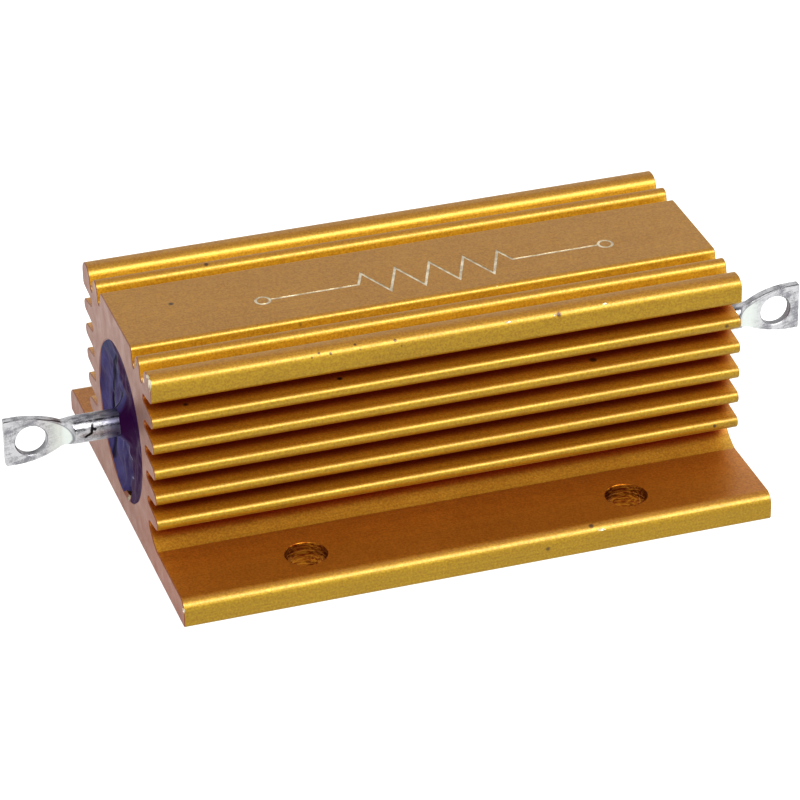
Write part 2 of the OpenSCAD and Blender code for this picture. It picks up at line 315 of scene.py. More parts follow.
class Nodes:
    """Adds and links nodes in one node tree."""

    def __init__(self, tree: bpy.types.NodeTree) -> None:
        """Keeps the tree that the nodes go into."""
        self.tree = tree

    def add(self, kind: str, values: dict | None = None, **settings: object) -> bpy.types.Node:
        """Adds a node.

        Args:
            kind: the node's type name without its ShaderNode prefix, or the whole name.
            values: socket values or output sockets to link, by socket name or number.
            settings: properties of the node itself.

        Returns:
            The new node.
        """
        known = hasattr(bpy.types, "ShaderNode" + kind)
        node = self.tree.nodes.new("ShaderNode" + kind if known else kind)
        for name, value in settings.items():
            setattr(node, name, value)
        for key, value in (values or {}).items():
            self.put(node.inputs[key], value)
        return node

    def put(self, socket: Socket, value: object) -> None:
        """Links an output to a socket, or sets the socket's value.

        Args:
            socket: the input.
            value: an output, a number, a vector or a colour.
        """
        if isinstance(value, Socket):
            self.tree.links.new(value, socket)
        elif isinstance(value, tuple) and len(value) == 3 and socket.type == "RGBA":
            socket.default_value = (*value, 1.0)
        else:
            socket.default_value = value

    def group(self, tree: bpy.types.NodeTree, **values: object) -> Sockets:
        """Places an effect with this material's own values and returns its outputs."""
        return self.add("Group", values, node_tree=tree).outputs

    def place(self) -> Sockets:
        """Returns X, Y and Z of the position in the object."""
        return self.add("SeparateXYZ", {0: self.add("TexCoord").outputs["Object"]}).outputs

    def maths(self, operation: str, *values: object) -> Socket:
        """Takes one maths step on a value, or the same step on several from left to right.

        Args:
            operation: name of the step.
            values: numbers or outputs.

        Returns:
            The result.
        """
        result, *others = values
        for value in others or [0.0]:
            result = self.add("Math", {0: result, 1: value}, operation=operation).outputs[0]
        return result

    def times(self, *values: object) -> Socket:
        """Returns the product of numbers or outputs."""
        return self.maths("MULTIPLY", *values)

    def vector(self, operation: str, a: object, b: object) -> Socket:
        """Takes one step on vectors.

        Args:
            operation: name of the step.
            a: the first vector.
            b: the second vector, or the factor of SCALE.

        Returns:
            The result, a number for DOT_PRODUCT and DISTANCE.
        """
        values = {0: a, "Scale" if operation == "SCALE" else 1: b}
        name = "Value" if operation in {"DOT_PRODUCT", "DISTANCE"} else "Vector"
        return self.add("VectorMath", values, operation=operation).outputs[name]

    def spread(
        self, value: Socket, low: float, high: float, to_low: float = 0.0, to_high: float = 1.0
    ) -> Socket:
        """Maps a number between low and high to one between to_low and to_high, and holds it there."""
        values = {"Value": value, "From Min": low, "From Max": high, "To Min": to_low, "To Max": to_high}
        return self.add("MapRange", values).outputs["Result"]

    def fade(
        self, value: Socket, low: float, high: float, to_low: float = 1.0, to_high: float = 0.0
    ) -> Socket:
        """Maps a length in the same way, with low and high in millimetres."""
        return self.spread(value, low * MM, high * MM, to_low, to_high)

    def blend(self, share: object, a: object, b: object, way: str = "MIX") -> Socket:
        """Returns a mix of the colours a and b, with share of b, mixed in the way of that name."""
        return self.add("Mix", {0: share, 6: a, 7: b}, data_type="RGBA", blend_type=way).outputs[2]

    def layered(self, colour: object, *layers: tuple[object, object]) -> Socket:
        """Lays colours over one another.

        Args:
            colour: the colour or output at the bottom.
            layers: the mask and the colour of each further layer, from the bottom up.

        Returns:
            What shows.
        """
        for mask, tint in layers:
            colour = self.blend(mask, colour, tint)
        return colour

    def stroke(self, place: Sockets, a: Point2, b: Point2, first: str = "Y") -> Socket:
        """Gives the distance from a straight stroke, seen along one axis.

        Args:
            place: outputs X, Y and Z of the position in the object.
            a: one end of the stroke on that view (first axis, z), in millimetres.
            b: its other end.
            first: the axis that runs across the view, X or Y.

        Returns:
            The distance in metres.
        """
        run = Vector((b[0] - a[0], 0.0, b[1] - a[1])) * MM
        flat = self.add("CombineXYZ", {0: place[first], 2: place["Z"]}).outputs[0]
        local = self.vector("SUBTRACT", flat, (a[0] * MM, 0.0, a[1] * MM))
        along = self.vector("DOT_PRODUCT", local, tuple(run / run.length_squared))
        nearest = self.vector("SCALE", tuple(run), self.spread(along, 0.0, 1.0))
        return self.vector("DISTANCE", local, nearest)

    def lines(
        self, place: Sockets, strokes: tuple[Stroke, ...], waver: Socket, core: float, peak: float
    ) -> Socket:
        """Masks soft lines along strokes that are seen along X.

        Args:
            place: outputs X, Y and Z of the position in the object.
            strokes: both ends (y, z) of each stroke and its width, in millimetres.
            waver: added to the distance, so that the lines aren't ruled.
            core: share of the width that has the whole strength.
            peak: the mask in the middle of a line.

        Returns:
            The mask.
        """
        masks = []
        for a, b, width in strokes:
            distance = self.maths("ADD", self.stroke(place, a, b), waver)
            masks.append(self.fade(distance, width * core, width, peak))
        return self.maths("MAXIMUM", *masks)

    def spots(self, places: tuple[tuple[Point3, float], ...]) -> Socket:
        """Masks small round spots at places in the object.

        Args:
            places: each spot's middle (x, y, z) and radius, in millimetres.

        Returns:
            A mask that is 1 in the spots.
        """
        where = self.add("TexCoord").outputs["Object"]
        shares = []
        for centre, radius in places:
            distance = self.vector("DISTANCE", where, tuple(Vector(centre) * MM))
            shares.append(self.maths("DIVIDE", distance, radius * MM))
        return self.spread(self.maths("MINIMUM", *shares), 0.6, 1.1, 1.0, 0.0)


class MaterialNodes(Nodes):
    """The nodes of one new material with a Principled shader."""

    def __init__(self, name: str) -> None:
        """Makes the material and finds its shader.

        Args:
            name: name of the material.
        """
        self.material = bpy.data.materials.new(name)
        self.material.use_nodes = True
        super().__init__(self.material.node_tree)
        self.shader = next(n for n in self.tree.nodes if n.type == "BSDF_PRINCIPLED")

    def done(self, values: dict[str, object]) -> Material:
        """Fills the sockets of the shader.

        Args:
            values: a number, a colour or an output for each socket.

        Returns:
            The material.
        """
        for label, value in values.items():
            self.put(self.shader.inputs[label], value)
        return self.material

    def bump(self, height: Socket, depth: float) -> Socket:
        """Returns the normal of a height, of which one unit stands for depth in millimetres."""
        values = {"Height": height, "Strength": 1.0, "Distance": depth * MM}
        return self.add("Bump", values).outputs["Normal"]


class Effect:
    """Node groups that more than one finish uses: named inputs and outputs, each built once."""

    @staticmethod
    def start(name: str, inputs: dict[str, float | Point3], outputs: tuple[str, ...]) -> tuple:
        """Starts a group with its sockets.

        Args:
            name: name of the group.
            inputs: each input with its usual value.
            outputs: names of the outputs, all of them numbers.

        Returns:
            The helper for its nodes, what the group is given and what it puts out.
        """
        tree = bpy.data.node_groups.new(name, "ShaderNodeTree")
        for label, usual in inputs.items():
            kind = "NodeSocketFloat" if isinstance(usual, float) else "NodeSocketVector"
            socket = tree.interface.new_socket(label, in_out="INPUT", socket_type=kind)
            socket.default_value = usual
        for label in outputs:
            tree.interface.new_socket(label, in_out="OUTPUT", socket_type="NodeSocketFloat")
        nodes = Nodes(tree)
        return nodes, nodes.add("NodeGroupInput").outputs, nodes.add("NodeGroupOutput").inputs

    @staticmethod
    @cache
    def drawn_lines() -> bpy.types.NodeTree:
        """Builds fine lines that a tool leaves in one direction, with slow changes between them.

        Returns:
            The group, with the direction, and how close the lines are across it and along it.
        """
        usual = {"Across": 2600.0, "Along": 25.0, "Direction": (1.0, 0.0, 0.0)}
        nodes, given, out = Effect.start("Drawn Lines", usual, ("Lines", "Drift"))
        where = nodes.add("TexCoord").outputs["Object"]
        along = nodes.vector("DOT_PRODUCT", where, given["Direction"])
        back = nodes.vector("SCALE", given["Direction"], along)
        fine = nodes.vector("SCALE", nodes.vector("SUBTRACT", where, back), given["Across"])
        place = nodes.vector("ADD", fine, nodes.vector("SCALE", back, given["Along"]))
        lines = nodes.add("TexNoise", {"Vector": place, "Scale": 1.0, "Detail": 4.0, "Roughness": 0.65})
        drift = nodes.add("TexNoise", {"Vector": where, "Scale": 90.0, "Detail": 2.0, "Roughness": 0.5})
        nodes.put(out["Lines"], lines.outputs["Fac"])
        nodes.put(out["Drift"], drift.outputs["Fac"])
        return nodes.tree

    @staticmethod
    @cache
    def grain() -> bpy.types.NodeTree:
        """Builds fine even grain, with a coarser mottle and a few dark specks.

        Returns:
            The group, with how fine the grain is and how many specks there are.
        """
        usual = {"Scale": 3000.0, "Specks": 0.5}
        nodes, given, out = Effect.start("Grain", usual, ("Grain", "Mottle", "Specks"))
        where, scale = nodes.add("TexCoord").outputs["Object"], given["Scale"]
        fine = nodes.add("TexNoise", {"Vector": where, "Detail": 3.0, "Roughness": 0.6, "Scale": scale})
        coarse = {"Vector": where, "Detail": 4.0, "Roughness": 0.55, "Scale": nodes.times(scale, 0.12)}
        wide = nodes.add("TexNoise", coarse)
        spaced = {"Vector": where, "Randomness": 1.0, "Scale": nodes.times(scale, 0.1)}
        cells = nodes.add("TexVoronoi", spaced).outputs
        chance = nodes.add("SeparateColor", {0: cells["Color"]}).outputs[0]
        rare = nodes.maths("LESS_THAN", chance, nodes.times(given["Specks"], 0.06))
        near = nodes.spread(cells["Distance"], 0.06, 0.16, 1.0, 0.0)
        nodes.put(out["Grain"], fine.outputs["Fac"])
        nodes.put(out["Mottle"], wide.outputs["Fac"])
        nodes.put(out["Specks"], nodes.times(rare, near))
        return nodes.tree


# ---------------------------------------------------------------- finishes


@dataclass(frozen=True)
class GoldAnodise:
    """Gold anodised aluminium, as drawn from the die, with light and shade painted into its colour by
    where each place lies on the section.
    """

    colour: Colour = (0.37, 0.242, 0.012)
    # Painted reflection: the flange top is redder than the gold. Painted shade: it darkens towards its
    # outer edge.
    flange: Colour = (0.52, 0.225, 0.034)
    flange_edge_shade: float = 0.86
    # Painted light: the groove flanks and the toe are lighter and redder than the gold.
    flank_light: Colour = (0.62, 0.325, 0.036)
    toe: Colour = (0.59, 0.365, 0.058)
    # Painted shade: darker and redder deep in the side slots.
    deep_shade: Colour = (0.43, 0.062, 0.009)
    # Painted light: lighter and redder in the top grooves.
    top_groove_light: Colour = (0.64, 0.39, 0.034)
    # Painted sheen: faces that look up are tinted pinker and bluer.
    upward_sheen: Colour = (1.02, 0.82, 1.9)
    pits: tuple[tuple[Point3, float], ...] = (
        ((16.0, -12.25, 16.15), 0.42),
        ((-26.0, 9.8, 23.4), 0.3),
        ((-19.8, 8.4, 23.4), 0.28),
        ((-21.9, -10.6, 23.3), 0.26),
        ((-14.9, -13.6, 22.9), 0.2),
        ((-14.1, -13.5, 23.2), 0.17),
        ((-12.9, -13.6, 23.0), 0.2),
        ((-10.2, -13.3, 23.4), 0.16),
        ((-9.8, -13.6, 22.9), 0.18),
        ((-6.0, -13.5, 23.2), 0.2),
        ((-5.4, -13.75, 22.6), 0.16),
        ((29.2, -13.85, 6.5), 0.2),
        ((12.0, -22.9, 2.9), 0.34),
    )
    dusty: Colour = (0.66, 0.58, 0.5)
    speck: Colour = (0.05, 0.02, 0.008)
    metal: float = 0.62
    roughness: float = 0.43
    coat: float = 0.5

    def dye_and_painted_light(self, nodes: Nodes) -> Socket:
        """Colours each place by where it lies on the section, with painted shade, painted light and
        painted reflection.

        Args:
            nodes: helper for the material's nodes.

        Returns:
            The gold with its painted light and shade.
        """
        place = nodes.place()
        across, height = nodes.maths("ABSOLUTE", place["Y"]), place["Z"]
        upright = nodes.add("SeparateXYZ", {0: nodes.add("NewGeometry").outputs["Normal"]}).outputs["Z"]
        off_foot = nodes.fade(height, 0.4, 0.9, 0.0, 1.0)
        under_rail = nodes.times(nodes.fade(height, 20.4, 20.9), off_foot)
        groove = nodes.times(under_rail, nodes.fade(across, 13.25, 13.6))
        low = nodes.fade(height, 5.0, 5.6)
        past_toe = nodes.times(
            nodes.fade(across, 22.0, 22.9), nodes.fade(across, 13.2, 13.35, 0.0, 1.0), off_foot
        )
        # Painted shade deep in the side slots, growing with depth and weaker near the open ends.
        depths = {0: low, 2: nodes.fade(across, 11.2, 12.9), 3: nodes.fade(across, 10.9, 11.8)}
        deep_shade = nodes.add("Mix", depths, data_type="FLOAT").outputs[0]
        ends = nodes.fade(nodes.maths("ABSOLUTE", place["X"]), 30.0, 31.9, 1.0, 0.35)
        top = nodes.times(nodes.fade(height, 22.8, 23.3), nodes.fade(across, 11.3, 11.8), off_foot)
        # Painted sheen on faces that look up.
        lit = nodes.blend(nodes.spread(upright, 0.6, 0.97), WHITE, self.upward_sheen)
        # Painted shade: the flange darkens towards its outer edge.
        edge = tuple(self.flange_edge_shade * c for c in self.flange)
        flange = nodes.blend(nodes.fade(across, 15.5, 19.5, 0.0, 1.0), self.flange, edge)
        return nodes.layered(
            nodes.blend(1.0, self.colour, lit, "MULTIPLY"),
            # Painted light in the top grooves.
            (top, self.top_groove_light),
            # Painted light on the groove flanks and on the toe.
            (groove, self.flank_light),
            (nodes.times(low, groove), self.toe),
            # Painted reflection and painted shade on the flange top.
            (nodes.times(low, past_toe), flange),
            # Painted shade deep in the slots.
            (nodes.times(under_rail, deep_shade, ends), self.deep_shade),
        )

    def material(self) -> Material:
        """Builds the finish.

        Returns:
            The material.
        """
        nodes = MaterialNodes("gold_anodise")
        lines = nodes.group(Effect.drawn_lines(), Across=5200.0, Along=18.0)
        grain = nodes.group(Effect.grain(), Scale=4300.0, Specks=0.35)
        tone = nodes.spread(lines["Lines"], 0.35, 0.65, 0.0, 0.22)
        dust = nodes.spread(grain["Grain"], 0.36, 0.64, 0.0, 0.7)
        drift = nodes.spread(lines["Drift"], 0.35, 0.65, 0.0, 0.12)
        worn = nodes.blend(nodes.maths("ADD", tone, dust, drift), WHITE, self.dusty)
        colour = nodes.blend(1.0, self.dye_and_painted_light(nodes), worn, "MULTIPLY")
        dark = nodes.maths("MAXIMUM", grain["Specks"], nodes.times(nodes.spots(self.pits), 0.85))
        height = nodes.maths("ADD", lines["Lines"], nodes.times(grain["Grain"], 1.4))
        rough = self.roughness
        return nodes.done(
            {
                "Base Color": nodes.blend(dark, colour, self.speck),
                "Metallic": self.metal,
                "Specular IOR Level": 0.4,
                "Roughness": nodes.spread(grain["Mottle"], 0.3, 0.7, rough - 0.04, rough + 0.05),
                "Coat Weight": self.coat,
                "Coat IOR": 1.6,
                "Coat Roughness": 0.31,
                "Normal": nodes.bump(height, 0.009),
            }
        )


@dataclass(frozen=True)
class SawnAnodise:
    """Anodised aluminium on the sawn ends: paler, rougher, with the saw's lines."""

    colour: Colour = (0.315, 0.178, 0.138)
    shade: Colour = (0.25, 0.125, 0.088)
    tan: Colour = (1.0, 0.74, 0.56)
    roughness: float = 0.45
    saw: Point3 = (0.0, 0.2588, 0.9659)

    def material(self) -> Material:
        """Builds the finish.

        Returns:
            The material.
        """
        nodes = MaterialNodes("sawn_anodise")
        lines = nodes.group(Effect.drawn_lines(), Across=2600.0, Along=60.0, Direction=self.saw)
        grain = nodes.group(Effect.grain(), Scale=4200.0)
        place = nodes.place()
        foot = nodes.fade(place["Z"], 4.0, 21.0, 1.0, 0.1)
        near = nodes.fade(place["Y"], -12.0, 8.0, 1.0, 0.35)
        tan = nodes.blend(nodes.times(foot, near), WHITE, self.tan)
        drift = nodes.spread(lines["Drift"], 0.4, 0.6, 0.0, 0.5)
        tone = nodes.times(nodes.spread(lines["Lines"], 0.35, 0.65), 0.6)
        colour = nodes.layered(self.colour, (drift, self.shade), (tone, self.shade))
        height = nodes.maths("ADD", lines["Lines"], nodes.times(grain["Grain"], 0.4))
        rough = self.roughness
        return nodes.done(
            {
                "Base Color": nodes.blend(1.0, colour, tan, "MULTIPLY"),
                "Metallic": 1.0,
                "Roughness": nodes.spread(grain["Mottle"], 0.3, 0.7, rough - 0.08, rough + 0.08),
                "Coat Weight": 0.25,
                "Coat Roughness": 0.45,
                "Normal": nodes.bump(height, 0.02),
            }
        )


@dataclass(frozen=True)
class DrilledAnodise:
    """Anodised aluminium inside the drilled holes and the bore: darker, with fine lines along X."""

    colour: Colour = (0.44, 0.21, 0.03)
    shade: Colour = (0.19, 0.045, 0.008)
    roughness: float = 0.38

    def material(self) -> Material:
        """Builds the finish.

        Returns:
            The material.
        """
        nodes = MaterialNodes("drilled_anodise")
        lines = nodes.group(Effect.drawn_lines(), Across=4200.0, Along=420.0)["Lines"]
        grain = nodes.group(Effect.grain(), Scale=2600.0)
        rough = self.roughness
        return nodes.done(
            {
                "Base Color": nodes.blend(nodes.spread(lines, 0.4, 0.6), self.colour, self.shade),
                "Metallic": 1.0,
                "Roughness": nodes.spread(grain["Mottle"], 0.3, 0.7, rough - 0.08, rough + 0.1),
                "Normal": nodes.bump(lines, 0.05),
            }
        )


@dataclass(frozen=True)
class MottledFinish:
    """Finish with nothing but an even mottle: bare metal, ceramic, wire or cement."""

    name: str
    colour: Colour
    shade: Colour
    metal: float
    roughness: float
    scale: float
    depth: float
    uneven: Point2 = (0.08, 0.1)

    def material(self) -> Material:
        """Builds the finish.

        Returns:
            The material.
        """
        nodes = MaterialNodes(self.name)
        grain = nodes.group(Effect.grain(), Scale=self.scale)
        tone = nodes.spread(grain["Mottle"], 0.35, 0.65)
        finer, coarser = self.roughness - self.uneven[0], self.roughness + self.uneven[1]
        return nodes.done(
            {
                "Base Color": nodes.blend(tone, self.colour, self.shade),
                "Metallic": self.metal,
                "Roughness": nodes.spread(grain["Grain"], 0.3, 0.7, finer, coarser),
                "Normal": nodes.bump(grain["Grain"], self.depth),
            }
        )


@dataclass(frozen=True)
class BlueSeal:
    """Poured sealing compound, dark blue with a dull skin, purple where it lies in its own shade."""

    colour: Colour = (0.085, 0.075, 0.185)
    shade: Colour = (0.05, 0.032, 0.105)
    purple: Colour = (0.042, 0.004, 0.05)
    # Painted shade: near black in the seal's creases.
    crease: Colour = (0.006, 0.003, 0.014)
    teal: Colour = (0.04, 0.05, 0.10)
    # Painted highlights: the pale glints on the left seal.
    pale: Colour = (0.30, 0.30, 0.42)
    roughness: float = 0.42
    shaded_creases: tuple[Stroke, ...] = (
        ((2.6, 17.4), (3.9, 15.9), 0.5),
        ((3.9, 15.9), (4.75, 13.0), 0.5),
        ((4.75, 13.0), (5.2, 9.8), 0.6),
        ((4.8, 6.8), (4.8, 4.8), 0.7),
        ((3.4, 14.9), (1.0, 13.4), 0.2),
        ((1.0, 13.4), (-1.0, 10.4), 0.2),
    )
    glints: tuple[Stroke, ...] = (
        ((2.2, 16.4), (3.2, 15.4), 0.2),
        ((4.9, 12.2), (5.0, 10.2), 0.16),
        ((-0.9, 8.6), (-1.6, 7.4), 0.16),
        ((-1.0, 4.9), (-1.9, 5.2), 0.14),
        ((2.2, 8.3), (2.0, 7.2), 0.2),
    )

    def material(self) -> Material:
        """Builds the finish.

        Returns:
            The material.
        """
        nodes = MaterialNodes("blue_seal")
        grain = nodes.group(Effect.grain(), Scale=2600.0)
        place, mottle = nodes.place(), grain["Mottle"]
        wander = nodes.times(nodes.maths("SUBTRACT", mottle, 0.5), 1.1 * MM)
        tone = nodes.spread(mottle, 0.38, 0.6)
        high = nodes.fade(place["Z"], 15.5, 17.0, 0.0, 0.8)
        rise = nodes.maths("MAXIMUM", nodes.maths("SUBTRACT", place["Z"], 9.0 * MM), 0.0)
        bound = nodes.times(rise, rise, 0.043 / MM)
        from_bound = nodes.maths("ADD", nodes.maths("SUBTRACT", place["Y"], bound), wander)
        # Painted shade in the creases, which also dip a little in the bump.
        crease = nodes.lines(place, self.shaded_creases, nodes.times(wander, 0.25), 0.4, 0.85)
        # Painted highlights along the glint strokes, on the left seal only.
        pale = nodes.lines(place, self.glints, nodes.times(wander, 0.2), 0.0, 0.8)
        left = nodes.fade(place["X"], -1.0, 1.0)
        colour = nodes.layered(
            self.shade,
            (tone, self.colour),
            (nodes.times(high, tone), self.teal),
            (nodes.fade(from_bound, -1.5, -0.9, 0.95), self.purple),
            (crease, self.crease),
            (nodes.times(pale, left), self.pale),
        )
        height = nodes.maths("ADD", mottle, nodes.times(grain["Grain"], 0.2))
        height = nodes.maths("SUBTRACT", height, nodes.times(crease, 1.5))
        rough = self.roughness
        return nodes.done(
            {
                "Base Color": colour,
                "Roughness": nodes.spread(mottle, 0.3, 0.7, rough - 0.1, rough + 0.15),
                "Specular IOR Level": 0.3,
                "IOR": 1.16,
                "Normal": nodes.bump(height, 0.16),
            }
        )


@dataclass(frozen=True)
class TinnedSteel:
    """Tinned terminal: pale metal, mottled and scratched, with painted shade in dark lines along its
    pressed rim, along the edge of its pressed face and on top of the pin, and painted dark reflections
    along the pin.
    """

    colour: Colour = (0.56, 0.56, 0.57)
    shade: Colour = (0.27, 0.27, 0.285)
    # Painted shade: dark lines along the pressed rim.
    rim: Colour = (0.055, 0.05, 0.052)
    pressed: Colour = (0.66, 0.70, 0.66)
    stain: Colour = (0.25, 0.255, 0.36)
    # Soot colours the real smudges and also the painted dark reflections along the pin.
    soot: Colour = (0.012, 0.01, 0.012)
    # Painted shade: darker grey on top of the pin.
    crown_shade: Colour = (0.16, 0.16, 0.19)
    roughness: float = 0.3
    scratch: Point3 = (0.9701, 0.0, 0.2425)
    smudges: tuple[tuple[Point2, Point2], ...] = (
        ((-35.2, 12.1), (-35.4, 11.3)),
        ((-35.4, 11.35), (-36.0, 11.0)),
        ((-35.3, 11.8), (-34.95, 11.7)),
    )

    def material(self) -> Material:
        """Builds the finish.

        Returns:
            The material.
        """
        nodes = MaterialNodes("tinned_steel")
        drawn = nodes.group(Effect.drawn_lines(), Across=3600.0, Along=240.0, Direction=self.scratch)
        noises = nodes.group(Effect.grain(), Scale=6200.0)
        lines, mottle, grain = drawn["Lines"], noises["Mottle"], noises["Grain"]
        place = nodes.place()
        out, height = nodes.maths("ABSOLUTE", place["X"]), place["Z"]
        weights = (mottle, 0.5), (grain, 0.25), (lines, 0.25)
        tone = nodes.maths("ADD", *(nodes.times(value, weight) for value, weight in weights))
        lift = nodes.maths("DIVIDE", nodes.maths("SUBTRACT", height, 10.85 * MM), 1.45 * MM)
        past = nodes.maths("SUBTRACT", out, nodes.times(lift, lift, 1.1 * MM), 37.2 * MM)
        front = nodes.fade(place["Y"], -0.3, -0.1)
        on_tongue = nodes.times(nodes.fade(past, 0.0, 0.15, 0.0, 1.0), front)
        near_tip = nodes.times(on_tongue, nodes.fade(out, 38.6, 40.2, 0.9))
        # Painted shade: a dark line along the edge of the pressed face, where it bends into the round pin.
        edge = nodes.fade(nodes.maths("ABSOLUTE", past), 0.03, 0.16, 0.75)
        ragged = nodes.maths("ADD", out, nodes.times(mottle, 2.2 * MM))
        shank = nodes.fade(out, 37.0, 37.6)
        # Painted dark reflections: two thin dark lines along the front of the pin.
        dark_reflection_lines = []
        for level, core, end in ((11.86, 0.04, 0.16), (12.47, 0.02, 0.09)):
            off = nodes.maths("ABSOLUTE", nodes.maths("SUBTRACT", height, level * MM))
            dark_reflection_lines.append(nodes.fade(off, core, end))
        broken = nodes.times(nodes.spread(tone, 0.44, 0.54, 0.9, 0.25), shank)
        # Painted shade on top of the pin, broken into streaks.
        crown = nodes.times(nodes.fade(height, 12.45, 12.6, 0.0, 0.75), shank)
        # Painted shade along the pressed rim, read from the vertex marks.
        rim = nodes.add("Attribute", attribute_name=RIM_SHADE).outputs["Fac"]
        smudge = nodes.maths("MINIMUM", *(nodes.stroke(place, a, b, "X") for a, b in self.smudges))
        uneven = nodes.times(nodes.maths("SUBTRACT", grain, 0.5), 0.25 * MM)
        soot = nodes.fade(nodes.maths("ADD", smudge, uneven), 0.10, 0.19, 0.95)
        colour = nodes.layered(
            self.shade,
            (nodes.spread(tone, 0.43, 0.55), self.colour),
            (near_tip, self.pressed),
            # Painted shade along the edge of the pressed face.
            (nodes.times(edge, front), self.shade),
            (nodes.fade(ragged, 34.2, 35.3, 0.8), self.stain),
            # Painted dark reflections along the pin.
            (nodes.times(nodes.maths("MAXIMUM", *dark_reflection_lines), broken, front), self.soot),
            (nodes.times(crown, nodes.spread(lines, 0.4, 0.58, 1.0, 0.2)), self.crown_shade),
            # Painted shade along the pressed rim.
            (nodes.times(rim, nodes.spread(mottle, 0.35, 0.6, 0.55, 1.0)), self.rim),
            (nodes.times(soot, front), self.soot),
        )
        bumps = nodes.maths("ADD", mottle, nodes.times(lines, 0.4))
        rough = self.roughness
        return nodes.done(
            {
                "Base Color": colour,
                "Metallic": 1.0,
                "Roughness": nodes.spread(mottle, 0.3, 0.7, rough - 0.06, rough + 0.14),
                "Normal": nodes.bump(bumps, 0.045),
            }
        )


CERAMIC = MottledFinish("ceramic", (0.80, 0.76, 0.68), (0.70, 0.66, 0.58), 0.0, 0.55, 3000.0, 0.02)
WIRE = MottledFinish("resistance_wire", (0.42, 0.40, 0.37), (0.28, 0.26, 0.24), 1.0, 0.32, 9000.0, 0.005)
CAP = MottledFinish("cap_steel", (0.56, 0.55, 0.53), (0.44, 0.43, 0.41), 1.0, 0.35, 4000.0, 0.01)
FILLING = MottledFinish("filling", (0.33, 0.31, 0.28), (0.22, 0.20, 0.18), 0.0, 0.7, 2200.0, 0.05)
PUNCHED = MottledFinish("punched_steel", (0.40, 0.40, 0.41), (0.17, 0.17, 0.18), 1.0, 0.4, 5200.0, 0.02)
# Bare metal of the knocks and the engraving, also used for the painted highlight on the bore's rim.
BARE_AND_GLINT = MottledFinish(
    "bare_aluminium_and_glint", (0.74, 0.68, 0.55), (0.46, 0.40, 0.31), 1.0, 0.4, 9000.0, 0.02, (0.1, 0.15)
)


class Inner(Enum):
    """The nodes inside the housing, each with its finish."""

    CORE = ("ceramic_core", CERAMIC)
    WINDING = ("resistance_winding", WIRE)
    CAP_LEFT = ("end_cap_left", CAP)
    CAP_RIGHT = ("end_cap_right", CAP)
    FILLING = ("moulded_filling", FILLING)


# ---------------------------------------------------------------- the housing


@dataclass(frozen=True)
class Round:
    """A circle that the section's outline runs round, solid inside it or hollow."""

    y: float
    z: float
    radius: float
    hollow: bool = False
    steps: int = 10

    @property
    def bend(self) -> float:
        """The radius, negative where the outline bends inwards."""
        return -self.radius if self.hollow else self.radius

    def mirrored(self) -> "Round":
        """Returns the same circle on the other side of the section."""
        return Round(-self.y, self.z, self.radius, self.hollow, self.steps)


def belt(rounds: list[Round]) -> list[tuple[Point2, Point2]]:
    """Runs an outline round a closed list of circles, anticlockwise, on their common tangents.

    Args:
        rounds: the circles, in order.

    Returns:
        Each point of the outline with the direction that faces out of the solid there.
    """
    headings = []
    for i, a in enumerate(rounds):
        b = rounds[(i + 1) % len(rounds)]
        dy, dz = b.y - a.y, b.z - a.z
        lean = max(-1.0, min(1.0, (a.bend - b.bend) / hypot(dy, dz)))
        headings.append(atan2(dz, dy) + asin(lean))
    points = []
    for i, a in enumerate(rounds):
        start, end = headings[i - 1], headings[i]
        turn = (end - start + pi) % (2 * pi) - pi
        if not a.hollow and turn < -1e-6:
            turn += 2 * pi
        if a.hollow and turn > 1e-6:
            turn -= 2 * pi
        for k in range(a.steps + 1):
            heading = start + turn * k / a.steps
            outward = (sin(heading), -cos(heading))
            points.append(((a.y + a.bend * outward[0], a.z + a.bend * outward[1]), outward))
    return points


